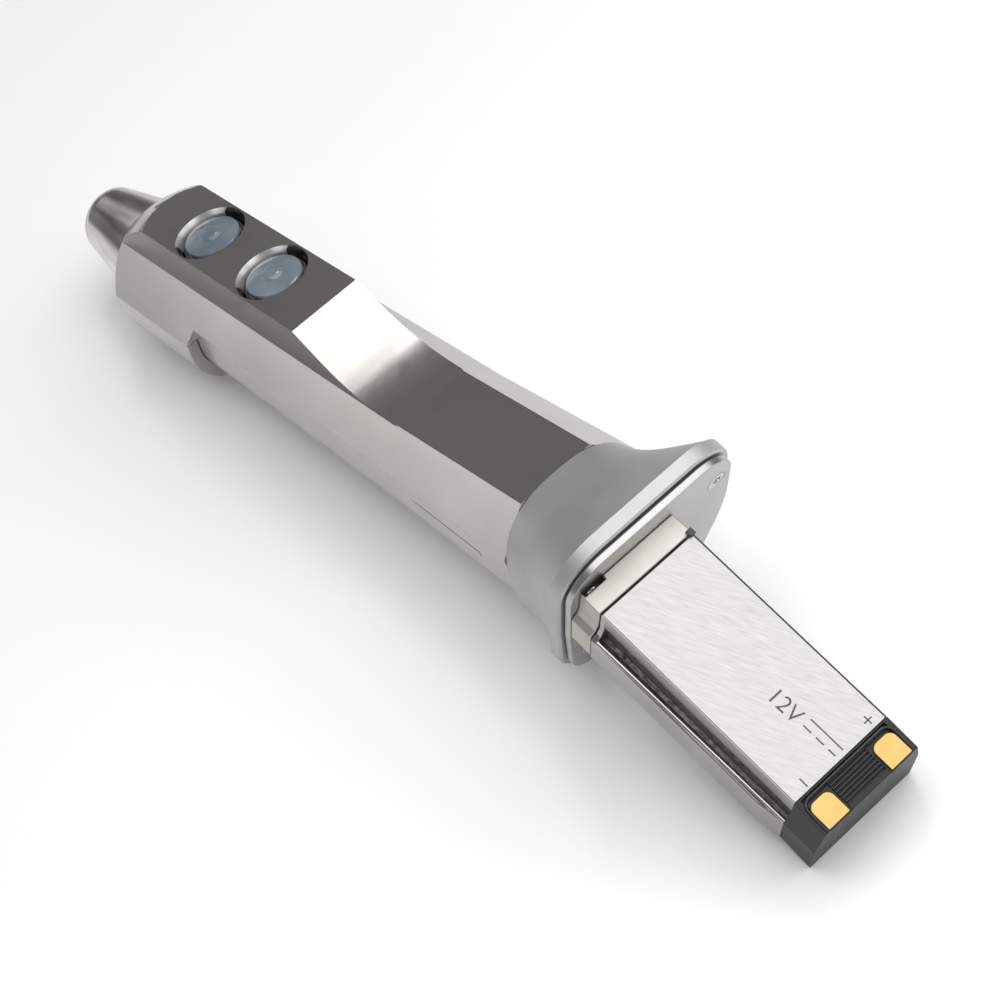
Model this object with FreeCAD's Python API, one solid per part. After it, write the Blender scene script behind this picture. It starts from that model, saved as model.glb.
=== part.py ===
import FreeCAD, Part
import math
import os

V = FreeCAD.Vector
X_AXIS, Y_AXIS, Z_AXIS = V(1, 0, 0), V(0, 1, 0), V(0, 0, 1)

# Surgical power screwdriver, millimetres. The spindle turns about the X axis and the tool socket
# opens at the origin, towards -X. +Z is the side with the buttons. The battery pack leaves the rear
# of the handle along its own axis, bent down from the spindle axis and set to the -Y side.

# Nose
nose_length = 23.4
nose_tip_r = 7.4
nose_base_r = 11.2
nose_lip = 1.4
nose_wall = 2.0
nose_mouth_r = 4.6
nose_spigot = 4.4
nose_bore_wall = 0.4
ring_width = 1.2
ring_proud = 0.6

# Head: the raised button block, the shoulders beside it and the turned front
head_front_r = 12.2
head_front_mid = (8.6, 6.0)
head_front_end = (21.6, 11.6)
head_rear = 99.1
block_top = 21.7
block_half_top = 7.75
block_half_base = 8.1
shoulder_drop = 1.05
cover_r = 15.5
cover_rear = 57.0
cover_rear_tilt = 20.0
cover_parting = 3.8
cover_gap = 0.12

# Scoop behind the head: steps back from the head's rear edge and down from the block's top
scoop_steps = ((0.0, 0.0), (4.3, 2.7), (9.6, 5.8), (15.2, 7.9), (21.7, 8.9))
scoop_floor_start = 27.8

# Grip: stations along the spindle axis with the height of the flat and the belly radius
grip_half_flat = 7.85
grip_front = 26.0
grip_waist = 127.0
grip_rear = 164.3
front_flat_z, waist_flat_z, rear_flat_z = 12.2, 12.6, 14.5
front_r, waist_r, rear_r = 12.6, 13.9, 15.0
seam_width = 0.35
seam_depth = 0.35
seam_length = 21.0
seam_z = 2.6
seam_back = 9.5

# Bore for the drive
bore_r = nose_base_r - nose_bore_wall
bore_fit = 0.08
spigot_length = 5.0
spigot_wall_step = 1.6

# Buttons
button_x = (58.6, 81.2)
dish_r = 7.4
dish_floor_r = 6.4
dish_depth = 2.5
dome_r = 5.7
dome_height = 3.4
dome_rim = 0.7
button_travel = 0.8
stem_r = 2.6
stem_fit = 0.1
seal_height = 0.5

# Switch pocket and board
pocket_half = 6.3
pocket_ends = (50.5, 91.0)
pocket_floor = 12.4
pocket_roof = 17.4
board_thickness = 1.2
switch_size = 6.0
switch_height = 1.9
actuator_r = 1.6

# Planetary gearbox, two stages in one ring gear
gear_module = 0.42
sun_teeth, planet_teeth, ring_teeth = 12, 15, 42
planet_count = 3
tooth_backlash = 0.06
gear_width = 3.4
carrier_disc = 2.2
carrier_disc_r = 7.6
planet_pin_r = 0.75
pin_fit = 0.04
stage_gap = 0.3
gearbox_start = 38.0

# Spindle, coupling and bearings
spindle_r = 4.0
socket_r = 2.25
socket_depth = 12.0
socket_relief = 0.4
hex_flats = 3.9
hex_depth = 5.0
ball_r = 0.9
detent_x = 14.6
ball_count = 3
front_bearing_x = (16.0, 20.0)
rear_bearing_x = (28.0, 33.0)
bearing_wall = 1.1
seal_x = (9.6, 11.4)
running_gap = 0.05

# Motor
motor_r = bore_r - 0.2
motor_length = 44.0
motor_shaft_r = 1.1
motor_wall = 0.9
bell_length = 4.0
terminal_size = (3.2, 2.2, 0.5)

# Control board behind the motor
control_gap = 6.0
control_length = 42.0
control_z = -1.0
control_thickness = 1.4

# Dock and pack: the pack's axis leaves the rear of the handle bent down by this angle
bend = 27.3
dock_point = V(195.0, -6.1, 15.5)
plate_back = 4.35
plate_thickness = 1.2
gasket_thickness = 0.45
gasket_inset = 0.6
shield_shoulder = -15.7
shoulder_r = 40.0
plate_shield = dict(left=18.1, right=17.2, left_low=16.9, right_low=9.7, top=5.4, bottom=-35.8,
                    top_r=7.6, low_r=8.0)
rim_shield = dict(left=18.9, right=18.6, left_low=17.8, right_low=11.2, top=5.9, bottom=-38.0,
                  top_r=9.6, low_r=9.0)
rim_width = 2.6
rim_edge = 0.35
screw_head_r = 1.9
screw_shank_r = 1.0
screw_length = 5.0
scallop_length = 1.9

# Pack section: narrow top, grooved sides and wide lower body
pack_half_top = 10.0
pack_ledge = 2.0
collar_ledge = 1.85
cap_ledge = 1.4
pack_depth = 15.4
pack_edge = 0.8
pack_stations = ((0.0, pack_ledge), (36.6, pack_ledge), (41.7, cap_ledge))
ledge_z = 7.0
upper_wall = 3.6
groove_depth = 0.4
gutter = 1.2
flange = 0.95
rail_r = 0.42
collar_gap = 0.35
pack_fit = 0.15
tongue_half = 8.0
tongue_low, tongue_top = -12.4, -4.6
tongue_inside = 3.95
pack_length = pack_stations[-1][0]
label_thickness = 0.5
label_inset = 0.25
cap_length = 6.5
cap_drop = 0.5
cap_deeper = 0.9
cap_lip = 1.0
cap_recess = 1.1
pad_size = (4.6, 4.4)
pad_corner = 1.3
pad_thickness = 0.4
rib_count = 7
rib_width = 0.35
cell_count = 3
spring_pin_r = 0.7
contact_spacing = 4.5
contact_block_half = 7.0
contact_block_length = 3.1
contact_block_height = 4.6
catch_size = 0.6
contact_z = -8.8

# Screws of the end plate: two in the shield's upper corners, two low down
screw_places = ((plate_shield["right"] - 3.3, -3.0), (dock_point.y - pack_half_top + 2.6, -2.2),
                (plate_shield["right_low"] - 0.3, -27.0), (3.4 - plate_shield["left_low"], -27.0))

# Hand stop: bell between the grip and the end plate
stop_front_proud = 0.6
stop_sections = 6
stop_flare = 2.3
stop_fall = 1.75
stop_points = 24
stop_wall = 2.4
screw_boss_r = 2.4

parts = {}


def keep(name, *shapes):
    parts[name] = shapes[0] if len(shapes) == 1 else Part.makeCompound(list(shapes))


def rod(r, x0, x1, y=0.0, z=0.0):
    return Part.makeCylinder(r, x1 - x0, V(x0, y, z), X_AXIS)


def tube(r_out, r_in, x0, x1):
    return rod(r_out, x0, x1).cut(rod(r_in, x0 - 1, x1 + 1))


def post(r, x, y, z0, z1):
    return Part.makeCylinder(r, z1 - z0, V(x, y, z0), Z_AXIS)


def block(x0, x1, y0, y1, z0, z1):
    return Part.makeBox(x1 - x0, y1 - y0, z1 - z0, V(x0, y0, z0))


def turned(points):
    """A solid turned about the spindle axis from (x, radius) points."""
    wire = Part.makePolygon([V(x, 0, r) for x, r in points] + [V(points[0][0], 0, points[0][1])])
    return Part.Face(wire).revolve(V(0, 0, 0), X_AXIS, 360)


def extruded(points, direction):
    return Part.Face(Part.makePolygon(points + [points[0]])).extrude(direction)


def body_section(x, flat_z, r, slope=shoulder_drop, half_flat=grip_half_flat):
    """Flat top, sloping shoulders, upright sides and a round belly about the spindle axis."""
    edge_z = flat_z - slope * (r - half_flat)
    corners = [V(x, -r, 0), V(x, -r, edge_z), V(x, -half_flat, flat_z),
               V(x, half_flat, flat_z), V(x, r, edge_z), V(x, r, 0)]
    edges = [Part.makeLine(a, b) for a, b in zip(corners, corners[1:])]
    low = r * math.sqrt(0.5)
    edges.append(Part.Arc(V(x, r, 0), V(x, low, -low), V(x, 0, -r)).toShape())
    edges.append(Part.Arc(V(x, 0, -r), V(x, -low, -low), V(x, -r, 0)).toShape())
    return Part.Wire(edges)


# Nose cone: a polished steel cone screwed on the head's front, open at the tip for the blade

cone_slope = (nose_base_r - nose_tip_r) / nose_length
cavity_r = spindle_r + bearing_wall * 3
nose = turned([(0, nose_mouth_r), (0, nose_tip_r - nose_lip), (nose_lip * 0.3, nose_tip_r - nose_lip * 0.4),
               (nose_lip, nose_tip_r + cone_slope * nose_lip), (nose_length, nose_base_r),
               (nose_length, bore_r - bore_fit), (nose_length + nose_spigot, bore_r - bore_fit),
               (nose_length + nose_spigot, cavity_r), (front_bearing_x[0], cavity_r),
               (front_bearing_x[0], spindle_r + 0.6), (nose_mouth_r, spindle_r + 0.6),
               (nose_mouth_r * 0.5, nose_mouth_r)])
keep("nose_cone", nose)

ring_start = nose_length + bore_fit
keep("nose_ring", tube(nose_base_r + ring_proud, bore_r, ring_start, ring_start + ring_width))

# Housing: one steel body with the button block, the scoop, the shoulders and the waisted grip

head_start = ring_start + ring_width
arc = Part.Arc(V(head_start, 0, head_front_r),
               V(head_start + head_front_mid[0], 0, head_front_r + head_front_mid[1]),
               V(head_start + head_front_end[0], 0, head_front_r + head_front_end[1])).toShape()
far_r = block_top + 8
front_end = V(head_start + head_front_end[0], 0, head_front_r + head_front_end[1])
outline = Part.Wire([arc, Part.makeLine(front_end, V(grip_rear, 0, far_r)),
                     Part.makeLine(V(grip_rear, 0, far_r), V(grip_rear, 0, 0)),
                     Part.makeLine(V(grip_rear, 0, 0), V(head_start, 0, 0)),
                     Part.makeLine(V(head_start, 0, 0), V(head_start, 0, head_front_r))])
front_turning = Part.Face(outline).revolve(V(0, 0, 0), X_AXIS, 360)

block_outline = [V(head_start, -block_half_base, 0), V(head_start, -block_half_base, front_flat_z - 1),
                 V(head_start, -block_half_top, block_top), V(head_start, block_half_top, block_top),
                 V(head_start, block_half_base, front_flat_z - 1), V(head_start, block_half_base, 0)]
scoop_end = head_rear + scoop_floor_start
button_block = extruded(block_outline, V(scoop_end - head_start, 0, 0))

scoop_curve = Part.BSplineCurve()
scoop_points = [V(head_rear + back, 0, block_top - down) for back, down in scoop_steps]
scoop_points.append(V(scoop_end, 0, waist_flat_z))
scoop_curve.interpolate(Points=scoop_points, InitialTangent=V(1, 0, -0.62), FinalTangent=V(1, 0, 0))
scoop_wire = Part.Wire([scoop_curve.toShape(),
                        Part.makeLine(scoop_points[-1], V(scoop_end, 0, far_r)),
                        Part.makeLine(V(scoop_end, 0, far_r), V(head_rear, 0, far_r)),
                        Part.makeLine(V(head_rear, 0, far_r), scoop_points[0])])
scoop_face = Part.Face(scoop_wire)
scoop_face.translate(V(0, -far_r, 0))
scoop = scoop_face.extrude(V(0, 2 * far_r, 0))

grip = Part.makeLoft([body_section(head_start, front_flat_z, front_r),
                      body_section(grip_waist, waist_flat_z, waist_r),
                      body_section(grip_rear, rear_flat_z, rear_r)], True, True)
head_shape = Part.makeLoft([body_section(head_start, front_flat_z, cover_r),
                            body_section(cover_rear + cover_r, front_flat_z, cover_r)], True, True)
cover_cut = block(head_start - 1, cover_rear, -far_r, far_r, -far_r, far_r)
cover_cut.rotate(V(cover_rear, 0, 0), Y_AXIS, cover_rear_tilt)
cover_cut = cover_cut.fuse(block(head_start - 1, head_start + cover_r, -far_r, far_r, -far_r, far_r))
head_zone = head_shape.common(cover_cut)
below_parting = block(0, grip_rear, -far_r, far_r, -far_r, cover_parting)
above_parting = block(0, grip_rear, -far_r, far_r, cover_parting, far_r)

housing = grip.fuse(head_zone.common(above_parting)).fuse(button_block).cut(scoop)
housing = housing.common(front_turning)

belly = head_zone.common(below_parting).common(front_turning)
belly.translate(V(0, 0, -cover_gap))
inner_grip = Part.makeLoft([body_section(head_start, front_flat_z, front_r + cover_gap),
                            body_section(grip_waist, waist_flat_z, waist_r + cover_gap)], True, True)
keep("belly_cover", belly.cut(inner_grip))

for x in button_x:
    floor_z = block_top - dish_depth
    dish = Part.makeCone(dish_floor_r, dish_r, dish_depth, V(x, 0, floor_z), Z_AXIS)
    housing = housing.cut(dish).cut(post(stem_r + stem_fit, x, 0, pocket_roof - 1, floor_z + 1))
housing = housing.cut(block(*pocket_ends, -pocket_half, pocket_half, pocket_floor, pocket_roof))
housing = housing.cut(rod(bore_r, 0, grip_rear + 1))
lead_way = post(2.0, pocket_ends[1] - 5, 0, 0, pocket_floor + 1)
housing = housing.cut(lead_way)

# Shallow seam that runs along the left shoulder and hooks down ahead of the hand stop
seam_end = grip_rear - seam_back
seam = block(seam_end - seam_length, seam_end, -rear_r - 2, -rear_r + 1.6, seam_z, seam_z + seam_width)
seam = seam.fuse(block(seam_end - seam_width, seam_end, -rear_r - 2, -rear_r + 1.6,
                       seam_z - 1.0, seam_z + seam_width))
inner_skin = Part.makeLoft([body_section(grip_waist - 20, waist_flat_z - seam_depth, waist_r - seam_depth),
                            body_section(grip_rear, rear_flat_z - seam_depth, rear_r - seam_depth)],
                           True, True)
housing = housing.cut(seam.cut(inner_skin))

# The rear spigot seats in the hand stop
spigot_r = bore_r + spigot_wall_step
housing = housing.fuse(tube(spigot_r, bore_r, grip_rear - 0.5, grip_rear + spigot_length))
keep("grip_housing", housing.removeSplitter())

# Buttons: silicone domes on stems, each in a fixed seal ring on the dish floor

for name, x in zip(("front", "rear"), button_x):
    floor_z = block_top - dish_depth
    base_z = floor_z + button_travel + 0.1
    sphere_r = (dome_r ** 2 + dome_height ** 2) / (2 * dome_height)
    top_z = base_z + dome_rim + dome_height
    dome = Part.makeSphere(sphere_r, V(x, 0, top_z - sphere_r))
    cap = dome.common(post(dome_r, x, 0, base_z + dome_rim, top_z + 1))
    disc = post(dome_r, x, 0, base_z, base_z + dome_rim)
    board_top = pocket_floor + 0.1 + board_thickness
    switch_top = board_top + switch_height + 0.4
    stem = post(stem_r, x, 0, switch_top + button_travel + 0.1, base_z)
    keep(name + "_button", disc.fuse(cap).removeSplitter())
    keep(name + "_button_stem", stem)
    seal = post(dish_floor_r - 0.05, x, 0, floor_z, floor_z + seal_height)
    keep(name + "_button_seal", seal.cut(post(dome_r + 0.1, x, 0, floor_z - 1, floor_z + 2)))
    body = block(x - switch_size / 2, x + switch_size / 2, -switch_size / 2, switch_size / 2,
                 board_top, board_top + switch_height)
    keep(name + "_switch", body.fuse(post(actuator_r, x, 0, board_top + switch_height - 0.1, switch_top)))

board_z = pocket_floor + 0.1
keep("switch_board", block(pocket_ends[0] + 0.4, pocket_ends[1] - 0.4, -pocket_half + 0.2,
                           pocket_half - 0.2, board_z, board_z + board_thickness)
     .cut(post(2.0, pocket_ends[1] - 5, 0, board_z - 1, board_z + 3)))

# Gears: involute flanks from the base circle, three points a flank


def involute_angle(base_r, r):
    t = math.sqrt(max((r / base_r) ** 2 - 1, 0))
    return t - math.atan(t)


def gear_outline(teeth, internal=False):
    """Polygon of one gear about X at x = 0, with a tooth (or a space) centred on +Y."""
    pitch_r = gear_module * teeth / 2
    base_r = pitch_r * math.cos(math.radians(20))
    if internal:
        tip_r, root_r = pitch_r + 1.2 * gear_module, pitch_r - 0.9 * gear_module
        half = (math.pi * gear_module / 2 + tooth_backlash) / (2 * pitch_r)
    else:
        tip_r, root_r = pitch_r + 0.9 * gear_module, pitch_r - 1.2 * gear_module
        half = (math.pi * gear_module / 2 - tooth_backlash) / (2 * pitch_r)
    flank = []
    for k in range(4):
        r = root_r + (tip_r - root_r) * k / 3
        offset = involute_angle(base_r, pitch_r) - involute_angle(base_r, max(r, base_r))
        flank.append((r, half + offset))
    points = []
    for tooth in range(teeth):
        centre = 2 * math.pi * tooth / teeth
        for r, a in flank:
            points.append((r, centre - a))
        for r, a in reversed(flank):
            points.append((r, centre + a))
    return [V(0, r * math.cos(a), r * math.sin(a)) for r, a in points]


def gear(teeth, turn, x0, x1, y=0.0, z=0.0):
    solid = extruded(gear_outline(teeth), V(x1 - x0, 0, 0))
    solid.rotate(V(0, 0, 0), X_AXIS, math.degrees(turn))
    solid.translate(V(x0, y, z))
    return solid


centre_distance = gear_module * (sun_teeth + planet_teeth) / 2
ring_pitch = 2 * math.pi / ring_teeth
planet_pitch = 2 * math.pi / planet_teeth
sun_pitch = 2 * math.pi / sun_teeth


def planet_turn(place):
    """Turn that puts a planet's tooth in the ring gear's space at its own place round the sun."""
    ring_phase = place % ring_pitch
    return place - ring_phase * ring_teeth / planet_teeth


def sun_turn():
    """Turn that meshes the sun with the planet at place 0, whose inner side faces the sun."""
    inner_phase = (math.pi - planet_turn(0.0)) % planet_pitch
    return (planet_pitch / 2 - inner_phase) * planet_teeth / sun_teeth


def planet_gear(place, x0):
    y, z = centre_distance * math.cos(place), centre_distance * math.sin(place)
    wheel = gear(planet_teeth, planet_turn(place), x0, x0 + gear_width, y, z)
    return wheel.cut(rod(planet_pin_r + pin_fit, x0 - 1, x0 + gear_width + 1, y, z))


def carrier_pins(x0, x1):
    pins = []
    for k in range(planet_count):
        place = 2 * math.pi * k / planet_count
        y, z = centre_distance * math.cos(place), centre_distance * math.sin(place)
        pins.append(rod(planet_pin_r, x0, x1, y, z))
    return pins


stage_two_x = gearbox_start + carrier_disc + stage_gap
carrier_one_x = stage_two_x + gear_width + stage_gap
stage_one_x = carrier_one_x + carrier_disc + stage_gap
gearbox_end = stage_one_x + gear_width + stage_gap

ring_space = extruded(gear_outline(ring_teeth, internal=True), V(gearbox_end - gearbox_start, 0, 0))
ring_space.translate(V(gearbox_start, 0, 0))
keep("ring_gear", rod(bore_r - bore_fit, gearbox_start, gearbox_end).cut(ring_space))

for stage, x0 in (("first", stage_one_x), ("second", stage_two_x)):
    for k in range(planet_count):
        keep("%s_planet_%d" % (stage, k + 1), planet_gear(2 * math.pi * k / planet_count, x0))

# Output spindle: tool socket, shaft and the second stage's carrier in one turned piece

spindle = rod(spindle_r, 0, gearbox_start)
spindle = spindle.fuse(rod(carrier_disc_r, gearbox_start, gearbox_start + carrier_disc))
spindle = spindle.cut(rod(socket_r, -1, socket_depth))
hex_start = socket_depth + socket_relief
spindle = spindle.cut(rod(socket_r + 0.1, socket_depth, hex_start))
hex_corner = hex_flats / math.sqrt(3)
hex_points = []
for k in range(6):
    turn = math.radians(30 + 60 * k)
    hex_points.append(V(socket_depth, hex_corner * math.cos(turn), hex_corner * math.sin(turn)))
spindle = spindle.cut(extruded(hex_points, V(socket_relief + hex_depth, 0, 0)))
pocket_r = ball_r + 0.05
for k in range(ball_count):
    place = 2 * math.pi * k / ball_count
    hole = Part.makeCylinder(pocket_r, spindle_r, V(detent_x, 0, 0),
                             V(0, math.cos(place), math.sin(place)))
    spindle = spindle.cut(hole)
groove_r = spindle_r - 0.5
spindle = spindle.cut(tube(spindle_r + 1, groove_r, detent_x - 0.6, detent_x + 0.6))
for pin in carrier_pins(gearbox_start + carrier_disc - 0.1, stage_two_x + gear_width):
    spindle = spindle.fuse(pin)
keep("output_spindle", spindle.removeSplitter())

def ball(r, centre):
    arc = Part.Arc(V(-r, 0, 0), V(0, 0, r), V(r, 0, 0)).toShape()
    half = Part.Face(Part.Wire([arc, Part.makeLine(V(r, 0, 0), V(-r, 0, 0))]))
    solid = half.revolve(V(0, 0, 0), X_AXIS, 360)
    solid.translate(centre)
    return solid


balls = []
for k in range(ball_count):
    place = 2 * math.pi * k / ball_count
    reach = groove_r - 0.02 - ball_r
    balls.append(ball(ball_r, V(detent_x, reach * math.cos(place), reach * math.sin(place))))
keep("detent_balls", *balls)
keep("detent_spring_ring", tube(spindle_r - 0.05, groove_r, detent_x - 0.5, detent_x + 0.5)
     .cut(block(0, 20, -0.4, 0.4, 0, 10)))

# First stage carrier with the second stage's sun gear on its front

carrier = rod(carrier_disc_r, carrier_one_x, carrier_one_x + carrier_disc)
carrier = carrier.fuse(gear(sun_teeth, sun_turn(), stage_two_x, carrier_one_x + 0.1))
for pin in carrier_pins(carrier_one_x + carrier_disc - 0.1, stage_one_x + gear_width):
    carrier = carrier.fuse(pin)
keep("first_carrier", carrier.removeSplitter())

# Bearings and nose seal round the spindle


def needle_bearing(x0, x1, inner, outer, rollers=12):
    """Two races with a ring of short rollers between them."""
    mid = (inner + outer) / 2
    r = (outer - inner) * 0.2
    rolling = []
    for k in range(rollers):
        a = 2 * math.pi * k / rollers
        rolling.append(rod(r, x0 + 0.3, x1 - 0.3, mid * math.cos(a), mid * math.sin(a)))
    return tube(mid - r - 0.03, inner, x0, x1), tube(outer, mid + r + 0.03, x0, x1), rolling


for name, ends, outer in (("front", front_bearing_x, cavity_r - bore_fit),
                          ("rear", rear_bearing_x, bore_r - bore_fit)):
    inner_race, outer_race, rolling = needle_bearing(*ends, spindle_r + 0.02, outer)
    keep(name + "_bearing_inner", inner_race)
    keep(name + "_bearing", outer_race, *rolling)
keep("nose_seal", tube(spindle_r + 0.55, spindle_r + running_gap, *seal_x))

# Motor

motor_x0 = gearbox_end + bore_fit
motor_x1 = motor_x0 + motor_length
can = rod(motor_r, motor_x0, motor_x1).cut(rod(motor_r - motor_wall, motor_x0 + 2.0, motor_x1 + 1))
keep("motor_can", can.cut(rod(motor_shaft_r + running_gap, motor_x0 - 1, motor_x0 + 3)))
magnet_r = motor_r - motor_wall - bore_fit
keep("motor_magnets", *[tube(magnet_r, magnet_r - 2.0, motor_x0 + 5, motor_x1 - 8)
                        .common(block(motor_x0, motor_x1, -9, 9, low, low + 8.6)) for low in (-10.2, 1.6)])
rotor = rod(motor_shaft_r, stage_one_x, motor_x1 + 2.5)
rotor = rotor.fuse(gear(sun_teeth, sun_turn(), stage_one_x, stage_one_x + gear_width))
armature = rod(magnet_r - 2.4, motor_x0 + 6, motor_x1 - 9)
for k in range(5):
    slot = block(motor_x0 + 5, motor_x1 - 8, -0.5, 0.5, 3.6, 9)
    slot.rotate(V(0, 0, 0), X_AXIS, 72 * k)
    armature = armature.cut(slot)
keep("motor_rotor", rotor.fuse(armature).fuse(rod(2.8, motor_x1 - 7, motor_x1 - 3)).removeSplitter())
bell = rod(motor_r, motor_x1 + bore_fit, motor_x1 + bell_length)
bell = bell.fuse(rod(motor_r - motor_wall - bore_fit, motor_x1 - 1.6, motor_x1 + bore_fit))
keep("motor_end_bell", bell.cut(rod(motor_shaft_r + running_gap, motor_x1 - 3, motor_x1 + 2.9)))
terminals = []
for side in (-1, 1):
    x0 = motor_x1 + bell_length
    y0 = side * 5.0 - terminal_size[1] / 2
    terminals.append(block(x0, x0 + terminal_size[0], y0, y0 + terminal_size[1],
                           -terminal_size[2] / 2, terminal_size[2] / 2))
keep("motor_terminals", *terminals)

# Control board, held across the bore behind the motor, with its driver chips

control_x0 = motor_x1 + bell_length + control_gap
control_half = math.sqrt(bore_r ** 2 - (abs(control_z) + control_thickness) ** 2) - 0.1
control = block(control_x0, control_x0 + control_length, -control_half, control_half,
                control_z - control_thickness, control_z)
chips = []
for k in range(3):
    x0 = control_x0 + 5 + 12 * k
    chips.append(block(x0, x0 + 7, -3.5, 3.5, control_z, control_z + 1.6))
chips += [rod(3.0, control_x0 + 3 + 20 * k, control_x0 + 15 + 20 * k, 0, control_z - control_thickness - 3)
          for k in range(2)]
keep("control_board", control)
keep("control_chips", *chips)


# Dock frame: x along the pack's axis, z square to its top plate


def docked(shape, sideways=True):
    """Move a shape from the dock frame to the handle; the end plate stays on the handle's middle."""
    origin = V(dock_point.x, dock_point.y if sideways else 0, dock_point.z)
    placed = shape.copy()
    placed.Placement = FreeCAD.Placement(origin, FreeCAD.Rotation(Y_AXIS, bend)).multiply(placed.Placement)
    return placed


def rounded_outline(corners, radii, x):
    """Closed outline in the plane at x, with each corner rounded by its own radius."""
    edges, ends = [], []
    count = len(corners)
    for k in range(count):
        here, before, after = (V(x, *corners[j % count]) for j in (k, k - 1, k + 1))
        to_before, to_after = (before - here).normalize(), (after - here).normalize()
        half = to_before.getAngle(to_after) / 2
        back = radii[k] / math.tan(half)
        start, end = here + to_before * back, here + to_after * back
        middle_way = (to_before + to_after).normalize()
        middle = here + middle_way * (radii[k] / math.sin(half) - radii[k])
        edges.append(Part.Arc(start, middle, end).toShape())
        ends.append((start, end))
    lines = [Part.makeLine(ends[k][1], ends[(k + 1) % count][0]) for k in range(count)]
    return Part.Wire([e for pair in zip(edges, lines) for e in pair])


def shield(x, grow=0.0, left=0, right=0, left_low=0, right_low=0, top=0, bottom=0, top_r=0, low_r=0):
    """Shield outline in the plane at x, grown evenly: the end plate's or the rim's.

    Its left side runs nearly straight down beside the pack, and its right side draws in."""
    corners = [(right_low + grow, bottom - grow), (right + grow, shield_shoulder), (right + grow, top + grow),
               (-left - grow, top + grow), (-left - grow, shield_shoulder), (-left_low - grow, bottom - grow)]
    high_r, bottom_r = top_r + grow * 0.6, low_r + grow * 0.6
    return rounded_outline(corners, [bottom_r, shoulder_r, high_r, high_r, shoulder_r, bottom_r], x)


def plate_solid(x0, x1, grow=0.0):
    return Part.Face(shield(x0, grow, **plate_shield)).extrude(V(x1 - x0, 0, 0))


def pack_outline(x, ledge, grow=0.0, groove=0.0):
    """Pack section: flat top, upright upper walls, then a ledge out to the wider lower body."""
    top, low = pack_half_top + grow, pack_half_top + ledge + grow
    floor, bottom = -ledge_z + grow, -pack_depth - grow
    if groove:
        right = [(top, grow), (top, -upper_wall), (top - groove, -upper_wall - groove),
                 (top - groove, floor - gutter), (top + ledge * 0.2, floor - gutter),
                 (low - pack_edge * 0.4, floor)]
    else:
        right = [(top, grow), (top + ledge * 0.1, -upper_wall - 1), (top + ledge * 0.4, floor + 0.7),
                 (low - pack_edge * 0.4, floor)]
    right += [(low, floor - pack_edge * 0.4), (low, bottom + pack_edge), (low - pack_edge, bottom)]
    left = [(-y, z) for y, z in reversed(right)]
    return [V(x, y, z) for y, z in right + left]


def pack_prism(x0, x1, ledge, grow=0.0):
    return extruded(pack_outline(x0, ledge, grow), V(x1 - x0, 0, 0))


def cap_outline(x, drop, deeper):
    """Cap section: sides lean out to the ledge's height, then run down to a chamfered bottom."""
    low, bottom = pack_half_top + cap_ledge, -pack_depth - deeper
    right = [(pack_half_top, -drop), (low, -ledge_z), (low - 0.2, bottom + pack_edge),
             (low - 0.2 - pack_edge, bottom)]
    left = [(-y, z) for y, z in reversed(right)]
    points = [V(x, y, z) for y, z in right + left]
    return Part.makePolygon(points + [points[0]])


reach = 3 * pack_half_top
plate_x = -plate_back
plate_front = plate_x - plate_thickness
gasket_front = plate_front - gasket_thickness
stop_rear = gasket_front - bore_fit
to_plate_side = V(0, dock_point.y, 0)

# Pack: steel shell with grooved sides, brushed label plate, rails, cells and moulded end cap

tongue_end = -plate_back - tongue_inside
sections = []
for x, ledge in pack_stations:
    points = pack_outline(x, ledge, 0.0, groove_depth)
    sections.append(Part.makePolygon(points + [points[0]]))
shell = Part.makeLoft(sections, True, True)
shell = shell.fuse(pack_prism(0, collar_gap + flange, pack_ledge))
shell = shell.cut(block(-1, collar_gap, -reach, reach, -reach, reach))
shell = shell.fuse(block(tongue_end, collar_gap + 0.1, -tongue_half, tongue_half, tongue_low, tongue_top))
cell_floor, cell_top = 1.7 - pack_depth, -2.4
cell_x0 = collar_gap + 1.2
cell_half = pack_half_top - groove_depth - 1.1
cells_room = block(cell_x0 - 0.1, pack_length + 1, -cell_half - 0.1, cell_half + 0.1, cell_floor - 0.1, cell_top + 0.1)
shell = shell.cut(cells_room)
label_half = pack_half_top - label_inset
shell = shell.cut(block(label_inset, pack_length + 1, -label_half - 0.02, label_half + 0.02,
                        -label_thickness, 1))
keep("pack_shell", docked(shell.removeSplitter()))
keep("pack_label_plate", docked(block(collar_gap + 0.05, pack_length - 0.05, -label_half, label_half,
                                      -label_thickness + 0.02, 0.0)))

rails = []
for side in (-1, 1):
    y, z = side * (pack_half_top + cap_ledge - rail_r), -ledge_z - 0.1
    rail = rod(rail_r, collar_gap + flange, pack_length - 0.1, y, z)
    lean = math.degrees(math.atan2(pack_ledge - cap_ledge, pack_length - collar_gap))
    rail.rotate(V(pack_length, y, z), Z_AXIS, side * -lean)
    rails.append(rail.cut(shell))
keep("pack_rails", *[docked(rail) for rail in rails])

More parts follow.
